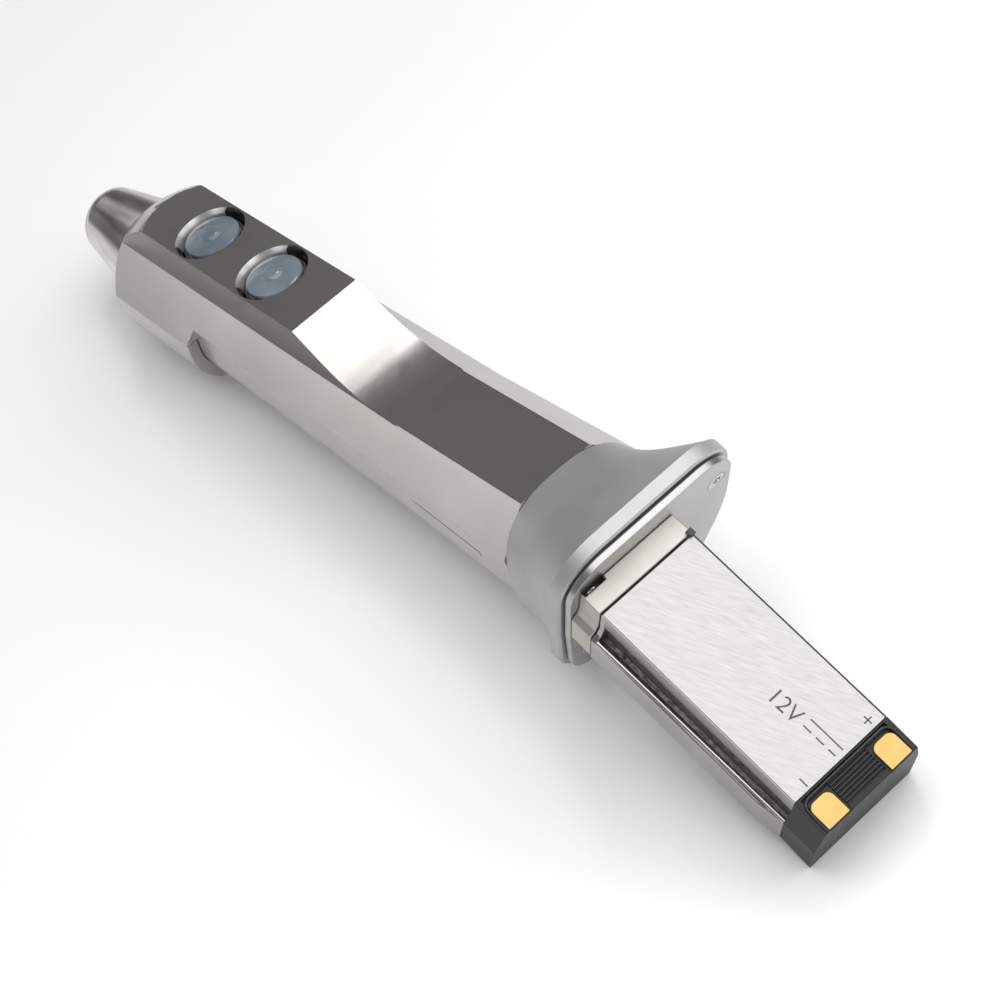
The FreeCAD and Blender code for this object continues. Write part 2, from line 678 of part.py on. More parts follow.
cap_x0, cap_x1 = pack_length + 0.05, pack_length + cap_length
cap = Part.makeLoft([cap_outline(cap_x0, 0.0, 0.0), cap_outline(cap_x1, cap_drop, cap_deeper)], True, True)
cap_top = block(cap_x0 + cap_lip * 0.3, cap_x1 - cap_lip, -pack_half_top + cap_lip, pack_half_top - cap_lip,
                -cap_recess, 1)
cap = cap.cut(cap_top)
pad_x1 = cap_x1
pads = []
for side in (-1, 1):
    y0 = side * (pack_half_top - cap_lip - 0.4) - (pad_size[1] if side > 0 else 0)
    seat = rounded_outline([(0, 0), (pad_size[1], 0), (pad_size[1], pad_size[0]), (0, pad_size[0])],
                           [pad_corner, pad_corner, 0.2, 0.2], 0)
    pad = Part.Face(seat).extrude(V(pad_thickness, 0, 0))
    pad.rotate(V(0, 0, 0), Y_AXIS, 90)
    pad.translate(V(cap_x0 + 1.4, y0, -cap_recess + pad_thickness + 0.45))
    cap = cap.cut(block(cap_x1 - cap_lip - 0.2, cap_x1 + 1, y0 - 0.1, y0 + pad_size[1] + 0.1, -cap_recess + 0.3, 1))
    pads.append(pad)
    cap = cap.fuse(block(cap_x0 + 1.2, cap_x1 - 0.1, y0 - 0.1, y0 + pad_size[1] + 0.1,
                         -cap_recess - 0.2, -cap_recess + 0.4))
ribs_half = pack_half_top - cap_lip - 0.6 - pad_size[1]
for k in range(rib_count):
    x0 = cap_x0 + 0.7 + (cap_length - 1.9) * k / rib_count
    cap = cap.fuse(block(x0, x0 + rib_width, -ribs_half, ribs_half, -cap_recess - 0.2, -cap_recess + 0.5))
spigot = block(cap_x0 - 0.9, cap_x0 + 0.1, -cell_half, cell_half, cell_floor, cell_top)
keep("pack_end_cap", docked(cap.fuse(spigot).removeSplitter()))
keep("pack_contact_pads", *[docked(pad) for pad in pads])

cell_height = (cell_top - cell_floor) / cell_count
cells = []
for k in range(cell_count):
    z0 = cell_floor + cell_height * k
    cells.append(block(cell_x0, pack_length - 1.1, -cell_half, cell_half, z0, z0 + cell_height - 0.12))
keep("battery_cells", *[docked(cell) for cell in cells])

inner_contacts = []
for side in (-1, 1):
    x1 = tongue_end - 0.02
    y = side * contact_spacing
    inner_contacts.append(block(x1 - 0.4, x1, y - 1.8, y + 1.8, contact_z - 1.6, contact_z + 1.6))
keep("pack_inner_contacts", *[docked(contact) for contact in inner_contacts])

# Dock: collar round the pack, end plate, gasket, screws, catch, and the contact block behind them

collar_front = plate_x + 0.02
tongue_room = block(tongue_end - 0.5, 1, -tongue_half - pack_fit, tongue_half + pack_fit,
                    tongue_low - pack_fit, tongue_top + pack_fit)
opening = tongue_room.copy()
opening.translate(to_plate_side)

plate = plate_solid(plate_front, plate_x).cut(opening)
gasket = plate_solid(gasket_front, plate_front - 0.02, -gasket_inset).cut(opening)
screws = []
screw_holes = []
for y, z in screw_places:
    head = Part.makeCone(screw_shank_r, screw_head_r, 0.9, V(plate_x - 0.9, y, z), X_AXIS)
    shank = rod(screw_shank_r, plate_x - screw_length, plate_x - 0.8, y, z)
    slot = block(plate_x - 0.45, plate_x + 1, y - 0.28, y + 0.28, z - 1.25, z + 1.25)
    cross = block(plate_x - 0.45, plate_x + 1, y - 1.25, y + 1.25, z - 0.28, z + 0.28)
    screws.append(head.fuse(shank).cut(slot).cut(cross).removeSplitter())
    sink = Part.makeCone(screw_shank_r + 0.1, screw_head_r + 0.1, 0.92, V(plate_x - 0.92, y, z), X_AXIS)
    screw_holes.append(sink.fuse(rod(screw_shank_r + 0.1, plate_x - screw_length - 0.5, plate_x, y, z)))
collar = pack_prism(collar_front, 0, collar_ledge).cut(tongue_room)
corner_y, corner_z = screw_places[1][0] - dock_point.y, screw_places[1][1]
scallop_r = screw_head_r + 0.3
scallop = rod(scallop_r, plate_x, plate_x + scallop_length, corner_y, corner_z)
scallop = scallop.fuse(block(plate_x, plate_x + scallop_length, corner_y - scallop_r, corner_y + scallop_r,
                             corner_z, 1))
collar = docked(collar.cut(scallop))
for hole in screw_holes:
    plate = plate.cut(hole)
    gasket = gasket.cut(hole)
    collar = collar.cut(docked(hole, sideways=False))
keep("dock_collar", collar)
keep("end_plate", docked(plate, sideways=False))
keep("stop_gasket", docked(gasket, sideways=False))
keep("end_plate_screws", *[docked(screw, sideways=False) for screw in screws])

catch_y = pack_half_top - 0.3
keep("dock_catch", docked(block(-catch_size, catch_size, catch_y - catch_size, catch_y + catch_size,
                                0.02, catch_size)))

dock_x1 = tongue_end - 0.42
block_x1 = dock_x1 - 0.9
block_low = contact_z - contact_block_height / 2
contact_block = block(block_x1 - contact_block_length, block_x1, -contact_block_half, contact_block_half,
                      block_low, block_low + contact_block_height)
pins = []
for side in (-1, 1):
    place = (side * contact_spacing, contact_z)
    pins.append(rod(spring_pin_r, block_x1 - contact_block_length - 0.6, dock_x1 - 0.02, *place))
    contact_block = contact_block.cut(rod(spring_pin_r + 0.02, block_x1 - 2 * contact_block_length, dock_x1, *place))
keep("dock_contact_block", docked(contact_block))
keep("dock_spring_pins", *[docked(pin) for pin in pins])


# Hand stop: a bell that grows from the grip's section to the tilted rim, thinly at first


def stop_section(t, shrink=0.0):
    """Closed spline at share t of the way from the grip to the rim, tilting as it goes."""
    growth = t ** stop_flare
    start = rear_r + stop_front_proud
    rim_half = (rim_shield["left"] + rim_shield["right"]) / 2
    half_width = start + (rim_half - 0.3 - start) * growth - shrink
    shift = (rim_shield["right"] - rim_half) * growth
    top = (rear_flat_z + stop_front_proud - dock_point.z) * (1 - growth)
    top += (rim_shield["top"] - 0.3) * growth - shrink
    fall = t ** stop_fall
    bottom = (-start - dock_point.z) * (1 - fall) + (rim_shield["bottom"] + 0.3) * fall + shrink
    power = 2.5 + 2.5 * growth
    tilt = math.radians(bend) * t
    front = V(grip_rear + bore_fit, 0, dock_point.z)
    rear = docked(Part.Vertex(stop_rear - rim_width, 0, 0), sideways=False).Point
    centre = front + (rear - front) * t
    points = []
    for k in range(stop_points):
        angle = 2 * math.pi * k / stop_points
        c, s = math.cos(angle), math.sin(angle)
        r = (abs(c) ** power + abs(s) ** power) ** (-1.0 / power)
        z = (top + bottom) / 2 + (top - bottom) / 2 * r * s
        below = (shield_shoulder - z) / (shield_shoulder - rim_shield["bottom"])
        side = "right" if c > 0 else "left"
        narrowing = 1 - rim_shield[side + "_low"] / rim_shield[side]
        taper = 1 - narrowing * growth * min(max(below, 0), 1)
        y = shift + half_width * r * c * taper
        points.append(centre + V(z * math.sin(tilt), y, z * math.cos(tilt)))
    spline = Part.BSplineCurve()
    spline.interpolate(Points=points, PeriodicFlag=True)
    return Part.Wire(spline.toShape())


rim_front = stop_rear - rim_width
stop = Part.makeLoft([stop_section(k / stop_sections) for k in range(stop_sections + 1)], True, False)
rim = Part.Face(shield(rim_front, **rim_shield)).extrude(V(rim_width - rim_edge, 0, 0))
rear_edge = Part.makeLoft([shield(stop_rear - rim_edge, **rim_shield),
                           shield(stop_rear, -rim_edge, **rim_shield)], True, True)
stop = stop.fuse(docked(rim, sideways=False)).fuse(docked(rear_edge, sideways=False))
hollow = Part.makeLoft([stop_section(k / stop_sections, stop_wall)
                        for k in range(2, stop_sections + 1)], True, False)
mouth = plate_solid(rim_front - 0.3, stop_rear + 1, -stop_wall - 1.0)
hollow = hollow.fuse(docked(mouth, sideways=False))
for y, z in screw_places:
    hollow = hollow.cut(docked(rod(screw_boss_r, rim_front - 12, stop_rear, y, z), sideways=False))
stop = stop.cut(hollow)
stop = stop.cut(rod(spigot_r + bore_fit, grip_rear - 1, grip_rear + spigot_length + 0.5))
stop = stop.cut(rod(bore_r - 1.5, grip_rear, grip_rear + 2 * spigot_length))
stop = stop.cut(docked(tongue_room))
room_half = contact_block_half + 0.1
stop = stop.cut(docked(block(block_x1 - contact_block_length - 0.7, collar_front, -room_half, room_half,
                             block_low - 0.1, block_low + contact_block_height + 0.1)))
for hole in screw_holes:
    stop = stop.cut(docked(hole, sideways=False))
keep("hand_stop", stop)

os.makedirs("parts", exist_ok=True)
for name, shape in parts.items():
    shape.exportStep("parts/" + name + ".step")
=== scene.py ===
import math

import bmesh
import bpy
from mathutils import Matrix, Vector


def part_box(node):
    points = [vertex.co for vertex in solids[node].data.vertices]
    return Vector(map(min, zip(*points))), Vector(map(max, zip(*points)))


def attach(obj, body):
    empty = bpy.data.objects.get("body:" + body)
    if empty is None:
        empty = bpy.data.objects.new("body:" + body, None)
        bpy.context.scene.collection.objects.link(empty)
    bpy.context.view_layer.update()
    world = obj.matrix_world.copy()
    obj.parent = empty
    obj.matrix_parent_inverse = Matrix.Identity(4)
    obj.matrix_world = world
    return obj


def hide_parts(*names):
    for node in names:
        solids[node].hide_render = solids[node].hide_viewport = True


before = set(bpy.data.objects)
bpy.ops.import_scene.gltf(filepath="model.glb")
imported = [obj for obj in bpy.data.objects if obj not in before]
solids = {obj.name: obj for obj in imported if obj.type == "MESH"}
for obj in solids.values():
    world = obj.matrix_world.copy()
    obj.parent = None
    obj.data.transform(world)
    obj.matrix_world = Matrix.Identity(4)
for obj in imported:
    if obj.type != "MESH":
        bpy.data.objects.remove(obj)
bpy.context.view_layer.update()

mm = 0.001

# Viewpoint: the photograph looks down the tool from beyond the battery pack, a little to the
# user's left, with a long lens and the camera rolled so that the tool runs corner to corner.

camera_place = Vector((432.7, -111.6, 277.4)) * mm
camera_aim = Vector((138.7, -2.9, -10.2)) * mm
camera_roll = math.radians(-26.8)
camera = bpy.data.objects.new("camera", bpy.data.cameras.new("camera"))
camera.data.lens = 85.46
camera.data.sensor_width = 36.0
camera.data.shift_y = 0.02
camera.data.clip_start = 0.01
aim_turn = (camera_aim - camera_place).to_track_quat("-Z", "Y").to_matrix().to_4x4()
camera.matrix_world = Matrix.Translation(camera_place) @ aim_turn @ Matrix.Rotation(camera_roll, 4, "Z")
bpy.context.collection.objects.link(camera)
bpy.context.scene.camera = camera

# Table: a white sheet that the tool lies on, its colour fading to dark grey away from the tool as a
# painted pool of light. The head's belly and the pack's low end touch it, so it leans by the degree
# and a half that those two points give.

table_under_belly = Vector((50.0, 0.0, -15.75)) * mm
table_under_pack = Vector((231.0, 0.0, -20.5)) * mm
table_reach = 3.0
table_lit = (210, 520)
table_lit_middle = (70, 20, -17)
table_near = (0.93, 0.93, 0.93)
table_far = (0.22, 0.22, 0.22)


def node_shader(name):
    """A new material with its node tree, principled shader and object coordinates."""
    paint = bpy.data.materials.new(name)
    paint.use_nodes = True
    tree = paint.node_tree
    place = tree.nodes.new("ShaderNodeTexCoord")
    return paint, tree, tree.nodes["Principled BSDF"], place.outputs["Object"]


def speckle(tree, place, stretch, detail=3.0, turn=(0, 0, 0)):
    """Noise with so many grains a metre along each axis, the axes first turned as asked."""
    mapping = tree.nodes.new("ShaderNodeMapping")
    mapping.vector_type = "TEXTURE"
    mapping.inputs["Rotation"].default_value = turn
    mapping.inputs["Scale"].default_value = [1 / grains for grains in stretch]
    noise = tree.nodes.new("ShaderNodeTexNoise")
    noise.inputs["Scale"].default_value = 1.0
    noise.inputs["Detail"].default_value = detail
    tree.links.new(place, mapping.inputs["Vector"])
    tree.links.new(mapping.outputs["Vector"], noise.inputs["Vector"])
    return noise.outputs["Fac"]


def spread(tree, value, low, high):
    """Noise carried to a range of numbers."""
    carry = tree.nodes.new("ShaderNodeMapRange")
    carry.inputs["From Min"].default_value = 0.25
    carry.inputs["From Max"].default_value = 0.75
    carry.inputs["To Min"].default_value = low
    carry.inputs["To Max"].default_value = high
    tree.links.new(value, carry.inputs["Value"])
    return carry.outputs["Result"]


def two_tone(tree, value, dark, light):
    """Noise turned into a colour between two."""
    ramp = tree.nodes.new("ShaderNodeValToRGB")
    ramp.color_ramp.elements[0].position = 0.3
    ramp.color_ramp.elements[0].color = (*dark, 1)
    ramp.color_ramp.elements[1].position = 0.7
    ramp.color_ramp.elements[1].color = (*light, 1)
    tree.links.new(value, ramp.inputs["Fac"])
    return ramp.outputs["Color"]


def relief(tree, shader, height, depth):
    """A bump of the given depth in metres."""
    bump = tree.nodes.new("ShaderNodeBump")
    bump.inputs["Strength"].default_value = 1.0
    bump.inputs["Distance"].default_value = depth
    tree.links.new(height, bump.inputs["Height"])
    tree.links.new(bump.outputs["Normal"], shader.inputs["Normal"])


# The table's colour fades from white near the tool to dark grey far off: a painted pool of light.
table_white, tree, shader, place = node_shader("table_white")
from_tool = tree.nodes.new("ShaderNodeVectorMath")
from_tool.operation = "DISTANCE"
from_tool.inputs[1].default_value = Vector(table_lit_middle) * mm
tree.links.new(place, from_tool.inputs[0])
fade = tree.nodes.new("ShaderNodeMapRange")
fade.inputs["From Min"].default_value = table_lit[0] * mm
fade.inputs["From Max"].default_value = table_lit[1] * mm
tree.links.new(from_tool.outputs["Value"], fade.inputs["Value"])
tree.links.new(two_tone(tree, fade.outputs["Result"], table_near, table_far), shader.inputs["Base Color"])
shader.inputs["Roughness"].default_value = 0.7
shader.inputs["Specular IOR Level"].default_value = 0.1

table_slope = (table_under_pack - table_under_belly).normalized()
table_mesh = bpy.data.meshes.new("table")
corners = [table_under_belly + table_slope * table_reach * a + Vector((0, table_reach * b, 0))
           for a, b in ((-1, -1), (1, -1), (1, 1), (-1, 1))]
table_mesh.from_pydata(corners, [], [(0, 1, 2, 3)])
table_mesh.materials.append(table_white)
table = bpy.data.objects.new("table", table_mesh)
bpy.context.collection.objects.link(table)

# Studio light: a wide soft box overhead and off to the right, so that the soft shadow falls to the
# left, a small bright lamp that glints on the buttons, and low boxes all round for the facets.

room_grey = 0.2


def soft_box(name, place, aim, width, height, brightness):
    """An area light that looks from its place at its aim, in millimetres, with an even glow."""
    lamp = bpy.data.lights.new(name, "AREA")
    lamp.shape = "RECTANGLE"
    lamp.size = width * mm
    lamp.size_y = height * mm
    lamp.energy = 4 * lamp.size * lamp.size_y * brightness
    box = bpy.data.objects.new(name, lamp)
    start, end = Vector(place) * mm, Vector(aim) * mm
    turn = (end - start).to_track_quat("-Z", "Y").to_matrix().to_4x4()
    box.matrix_world = Matrix.Translation(start) @ turn
    bpy.context.collection.objects.link(box)


soft_box("light_above", (720, 360, 780), (700, 260, 0), 1400, 1800, 1.6)
soft_box("light_key", (-196, 451, 1000), (40, 0, 10), 230, 230, 6.0)
soft_box("light_left", (-520, -450, 275), (60, -12, 15), 520, 230, 1.25)
soft_box("light_nose", (-820, 60, 330), (10, 0, 5), 300, 170, 0.6)
soft_box("light_back", (640, 900, 150), (60, 0, 20), 600, 260, 1.3)
soft_box("light_low", (1230, 310, 180), (70, 0, 20), 700, 480, 1.3)
soft_box("light_right", (580, -1100, 200), (70, 0, 20), 700, 380, 1.1)
world = bpy.data.worlds.new("room")
world.use_nodes = True
glow = world.node_tree.nodes["Background"].inputs
glow["Color"].default_value = (room_grey, room_grey, room_grey, 1)
glow["Strength"].default_value = 1.0
bpy.context.scene.world = world
bpy.context.scene.view_settings.view_transform = "Standard"

# Grip housing and belly cover: milled from stainless steel bar, ground to a satin finish with the
# grain along the handle. The two button wells are turned; their lighter colour is a painted highlight.

edge_round = 0.35 * mm
grain = (25, 2500, 2500)
steel_dark = (0.45, 0.435, 0.415)
steel_light = (0.52, 0.505, 0.485)
steel_scratch = 0.0004 * mm
well_reach = 7.5
well_heights = (18.5, 21.65)
block_front = 26
block_half = 8.6
block_heights = (12.2, 21.6)
weld = 0.002 * mm
flat_within = 0.8
edge_steps = 2
softer_by = 8


def ground_steel(name, dark, light, rough, scratches, depth,
                 turn=(0, 0, 0), patches=(45, 60, 60), uneven=0.07):
    """Ground or brushed metal: fine stretched scratches over soft broad patches."""
    paint, tree, shader, place = node_shader(name)
    fine = speckle(tree, place, scratches, 4.0, turn)
    broad = speckle(tree, place, patches, 2.0, turn)
    tree.links.new(two_tone(tree, broad, dark, light), shader.inputs["Base Color"])
    sheen = spread(tree, fine, rough * (1 - uneven), rough * (1 + uneven))
    tree.links.new(sheen, shader.inputs["Roughness"])
    relief(tree, shader, fine, depth)
    shader.inputs["Metallic"].default_value = 1.0
    return paint


def eased(node, body, edge, finish, sharp=28.0):
    """The named solid as a finished piece: welded, its sharp edges rounded, then shaded smooth."""
    source = solids[node]
    work = bmesh.new()
    work.from_mesh(source.data)
    bmesh.ops.remove_doubles(work, verts=work.verts, dist=weld)
    bmesh.ops.dissolve_limit(work, angle_limit=math.radians(flat_within),
                             verts=work.verts, edges=work.edges)
    mesh = bpy.data.meshes.new(node + "_finished")
    work.to_mesh(mesh)
    work.free()
    mesh.materials.append(finish)
    piece = bpy.data.objects.new(node + "_finished", mesh)
    bpy.context.collection.objects.link(piece)
    if edge:
        rounding = piece.modifiers.new("edge", "BEVEL")
        rounding.width = edge
        rounding.segments = edge_steps
        rounding.limit_method = "ANGLE"
        rounding.angle_limit = math.radians(sharp)
        rounding.use_clamp_overlap = True
    level = piece.modifiers.new("level", "WEIGHTED_NORMAL")
    level.keep_sharp = True
    mesh.shade_smooth()
    mesh.set_sharp_from_angle(angle=math.radians(sharp + softer_by))
    whole = bpy.context.evaluated_depsgraph_get()
    result = bpy.data.meshes.new_from_object(piece.evaluated_get(whole))
    piece.modifiers.clear()
    piece.data = result
    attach(piece, body)
    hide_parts(node)
    return piece


def paint_where(piece, finish, test):
    """Give the faces whose centre passes the test another finish."""
    piece.data.materials.append(finish)
    index = len(piece.data.materials) - 1
    for face in piece.data.polygons:
        if test(face.center / mm, face.normal):
            face.material_index = index


housing_steel = ground_steel("housing_steel", steel_dark, steel_light, 0.25, grain, steel_scratch)
# The wells get a much lighter steel colour: a painted highlight for the light on their sloping sides.
well_highlight_steel = ground_steel("well_highlight_steel", (0.70, 0.685, 0.665), (0.78, 0.765, 0.75), 0.34,
                          (900, 900, 200), 0.0005 * mm)
housing = eased("grip_housing", "handle", edge_round, housing_steel)
button_middles = [sum(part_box(name), Vector()) / 2 / mm for name in ("front_button", "rear_button")]


def in_a_well(centre, normal):
    """True for a face of one of the two button wells."""
    near = min(math.hypot(centre.x - m.x, centre.y - m.y) for m in button_middles)
    return near < well_reach and well_heights[0] < centre.z < well_heights[1]


paint_where(housing, well_highlight_steel, in_a_well)
# The block's upright walls are coloured near black: painted shade for the dark they reflect.
shaded_wall_steel = ground_steel("shaded_wall_steel", (0.065, 0.062, 0.058), (0.09, 0.086, 0.08), 0.22,
                          grain, steel_scratch)


def on_the_block_wall(centre, normal):
    """True for the upright faces of the button block, which get a near-black colour as painted shade."""
    low, high = block_heights
    upright = abs(normal.y) > 0.8 and low < centre.z < high
    return upright and abs(centre.y) < block_half and centre.x > block_front


paint_where(housing, shaded_wall_steel, on_the_block_wall)
eased("belly_cover", "handle", edge_round, housing_steel)

# Nose cone and its ring: turned stainless steel, polished. The cone screws into the housing's
# front and carries the front bearing; the ring is the bright step behind it.

# The dark and light streaks along the cone in its colour are painted reflection in the polished steel.
nose_steel = ground_steel("nose_steel", (0.26, 0.24, 0.225), (0.70, 0.67, 0.64), 0.2,
                          (10, 900, 900), 0.001 * mm, (0, 0, 0), (9, 300, 300))
nose_bore, nose_front, nose_base = 4.62, 7.63, 11.2
nose_length, nose_lip, cone_start = 23.4, 0.9, 1.4
spigot_end, spigot_radius = 27.8, 10.72
bearing_seat, bearing_radius = 16.0, 7.3
cone_steps = 12
lobes = 6
nose_outline = [(2.3, nose_bore), (0.25, 4.9), (0.0, 5.3), (0.0, 5.95), (0.12, 6.25), (0.42, 6.78),
                (nose_lip, 7.22), (cone_start, 7.6)]
for k in range(1, cone_steps):
    nose_outline.append((cone_start + (nose_length - 1.5) * k / cone_steps,
                         nose_front + (nose_base - nose_front) * k / cone_steps))
nose_outline += [(nose_length - 0.12, nose_base - 0.02), (nose_length, nose_base - 0.14),
                 (nose_length, spigot_radius), (spigot_end, spigot_radius), (spigot_end, bearing_radius),
                 (bearing_seat, bearing_radius), (bearing_seat, nose_bore)]


def recipe_tree(name, sizes):
    """A recipe of linked steps with named inputs, and its first and last step."""
    recipe = bpy.data.node_groups.new(name, "GeometryNodeTree")
    recipe.interface.new_socket("Geometry", in_out="INPUT", socket_type="NodeSocketGeometry")
    recipe.interface.new_socket("Geometry", in_out="OUTPUT", socket_type="NodeSocketGeometry")
    for label, kind in sizes:
        recipe.interface.new_socket(label, in_out="INPUT", socket_type="NodeSocket" + kind)
    return recipe, recipe.nodes.new("NodeGroupInput"), recipe.nodes.new("NodeGroupOutput")


def arithmetic(recipe, operation, first, second=None):
    """A sum in the recipe, of linked values or plain numbers."""
    step = recipe.nodes.new("ShaderNodeMath")
    step.operation = operation
    for socket, value in zip(step.inputs, (first, second)):
        if hasattr(value, "links"):
            recipe.links.new(value, socket)
        elif value is not None:
            socket.default_value = value
    return step.outputs[0]


def feed(recipe, kind, sources, **settings):
    """A step of the recipe with its inputs fed by name."""
    node = recipe.nodes.new(kind)
    for key, value in settings.items():
        setattr(node, key, value)
    for label, value in sources.items():
        socket = next(s for s in node.inputs if s.name == label and s.enabled)
        if hasattr(value, "links"):
            recipe.links.new(value, socket)
        else:
            socket.default_value = value
    return node


def finish_tree(recipe, shape, start, end):
    """Close a recipe: real meshes, smooth, in the material that the input names."""
    real = feed(recipe, "GeometryNodeRealizeInstances", {"Geometry": shape}).outputs[0]
    soft = feed(recipe, "GeometryNodeSetShadeSmooth", {"Geometry": real}).outputs[0]
    dressed = feed(recipe, "GeometryNodeSetMaterial",
                   {"Geometry": soft, "Material": start.outputs["Material"]})
    recipe.links.new(dressed.outputs[0], end.inputs[0])


def turned_shape(recipe, start):
    """The outline of the input turned about the X axis, with lobes inside a given radius."""
    points, steps = start.outputs["Outline points"], start.outputs["Turn steps"]
    grid = feed(recipe, "GeometryNodeMeshGrid", {
        "Size X": points, "Size Y": steps,
        "Vertices X": arithmetic(recipe, "ADD", points, 1),
        "Vertices Y": arithmetic(recipe, "ADD", steps, 1)})
    own_place = feed(recipe, "GeometryNodeInputPosition", {}).outputs[0]
    where = feed(recipe, "ShaderNodeSeparateXYZ", {"Vector": own_place})
    column = arithmetic(recipe, "ADD", where.outputs["X"], arithmetic(recipe, "DIVIDE", points, 2))
    column = arithmetic(recipe, "MODULO", arithmetic(recipe, "ROUND", column), points)
    row = arithmetic(recipe, "ADD", where.outputs["Y"], arithmetic(recipe, "DIVIDE", steps, 2))
    angle = arithmetic(recipe, "MULTIPLY", arithmetic(recipe, "DIVIDE", row, steps), 2 * math.pi)
    spot = feed(recipe, "GeometryNodeSampleIndex",
                {"Geometry": start.outputs["Geometry"], "Value": own_place, "Index": column},
                data_type="FLOAT_VECTOR")
    parts = feed(recipe, "ShaderNodeSeparateXYZ", {"Vector": spot.outputs[0]})
    radius = parts.outputs["Z"]
    inside = arithmetic(recipe, "LESS_THAN", radius, start.outputs["Lobed within"])
    wave = arithmetic(recipe, "COSINE", arithmetic(recipe, "MULTIPLY", angle, lobes))
    lobe = arithmetic(recipe, "MULTIPLY", wave, inside)
    lobe = arithmetic(recipe, "MULTIPLY", lobe, start.outputs["Lobe depth"])
    radius = arithmetic(recipe, "MULTIPLY", radius, arithmetic(recipe, "ADD", lobe, 1))
    place = feed(recipe, "ShaderNodeCombineXYZ", {
        "X": parts.outputs["X"],
        "Y": arithmetic(recipe, "MULTIPLY", radius, arithmetic(recipe, "SINE", angle)),
        "Z": arithmetic(recipe, "MULTIPLY", radius, arithmetic(recipe, "COSINE", angle))})
    moved = feed(recipe, "GeometryNodeSetPosition",
                 {"Geometry": grid.outputs["Mesh"], "Position": place.outputs[0]}).outputs[0]
    return feed(recipe, "GeometryNodeMergeByDistance", {"Geometry": moved, "Distance": 1e-6}).outputs[0]


def grown(name, body, seed, recipe, sizes, place=None, sharp=35.0):
    """Run a recipe on a seed mesh, keep the plain mesh that it makes, and put it in its place."""
    piece = bpy.data.objects.new(name, seed)
    bpy.context.collection.objects.link(piece)
    maker = piece.modifiers.new("maker", "NODES")
    maker.node_group = recipe
    for item in recipe.interface.items_tree:
        if item.in_out == "INPUT" and item.name in sizes:
            maker[item.identifier] = sizes[item.name]
    whole = bpy.context.evaluated_depsgraph_get()
    result = bpy.data.meshes.new_from_object(piece.evaluated_get(whole))
    piece.modifiers.clear()
    piece.data = result
    if place is not None:
        result.transform(place)
    work = bmesh.new()
    work.from_mesh(result)
    bmesh.ops.recalc_face_normals(work, faces=work.faces)
    work.to_mesh(result)
    work.free()
    result.shade_smooth()
    result.set_sharp_from_angle(angle=math.radians(sharp))
    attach(piece, body)
    return piece


def outline_mesh(name, outline, join=False):
    """Points (x, radius) or (x, y, z) in millimetres as a mesh, joined in a line where asked."""
    seed = bpy.data.meshes.new(name)
    spots = [Vector(p if len(p) == 3 else (p[0], 0, p[1])) * mm for p in outline]
    seed.from_pydata(spots, [(k, k + 1) for k in range(len(spots) - 1)] if join else [], [])
    return seed


lathe_sizes = [("Outline points", "Int"), ("Turn steps", "Int"), ("Lobe depth", "Float"),
               ("Lobed within", "Float"), ("Material", "Material")]
lathe, start, end = recipe_tree("turned_part", lathe_sizes)
finish_tree(lathe, turned_shape(lathe, start), start, end)
nose_seed = outline_mesh("nose_outline", nose_outline)
nose_sizes = {"Outline points": len(nose_outline), "Turn steps": 128, "Lobe depth": 0.0,
              "Lobed within": 0.0, "Material": nose_steel}
nose = grown("nose_cone_turned", "handle", nose_seed, lathe, nose_sizes)
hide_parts("nose_cone")
eased("nose_ring", "handle", 0.15 * mm, nose_steel)

# Buttons: moulded translucent silicone, a low lens with a small dome in its middle that shows
# as a paler ring. They are turned by the same recipe as the nose, about an upright axis.


def silicone_finish():
    """Blue-grey silicone, a little cloudy and a little translucent."""
    paint, tree, shader, place = node_shader("button_silicone")
    cloud = speckle(tree, place, (160, 160, 160), 4.0)
    tint = two_tone(tree, cloud, (0.115, 0.14, 0.17), (0.20, 0.235, 0.275))
    tree.links.new(tint, shader.inputs["Base Color"])
    grit = speckle(tree, place, (1500, 1500, 1500))
    tree.links.new(spread(tree, grit, 0.1, 0.16), shader.inputs["Roughness"])
    shader.inputs["Subsurface Weight"].default_value = 0.2
    shader.inputs["Subsurface Scale"].default_value = 0.002
    shader.inputs["Specular IOR Level"].default_value = 0.6
    return paint


button_silicone = silicone_finish()
button_edge, button_rise = 0.85, 0.75
dome_share, dome_rise = 0.42, 0.75
rim_round = 0.24
for node, body in (("front_button", "front_key"), ("rear_button", "rear_key")):
    low, high = (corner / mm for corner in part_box(node))
    radius = (high.x - low.x) / 2
    outline = [(0, 0), (0, radius * 0.5), (0, radius - 0.1), (0.1, radius), (button_edge - 0.22, radius),
               (button_edge - 0.06, radius - 0.07), (button_edge, radius - rim_round)]
    for k in range(1, 11):
        share = 1 - (1 - dome_share) * k / 10
        outline.append((button_edge + button_rise * (1 - share ** 2),
                        radius * share - rim_round * (1 - k / 10)))
    foot = outline[-1][0]
    for k in range(1, 9):
        turn = math.pi / 2 * k / 8
        outline.append((foot + dome_rise * math.sin(turn),
                        radius * dome_share * math.cos(turn) * 0.97))
    outline[-1] = (outline[-1][0], 0)
    upright = Matrix.Translation(Vector(((low.x + high.x) / 2, (low.y + high.y) / 2, low.z)) * mm)
    button_sizes = {"Outline points": len(outline), "Turn steps": 96, "Lobe depth": 0.0,
                    "Lobed within": 0.0, "Material": button_silicone}
    button = grown(node + "_lens", body, outline_mesh(node + "_outline", outline), lathe,
                   button_sizes, upright @ Matrix.Rotation(math.radians(-90), 4, "Y"), 30.0)
    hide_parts(node)

# Hand stop: a bell of aluminium, cast thin, machined at the rim and blasted with glass bead to an
# even matte grey. Four screws through the end plate hold it.

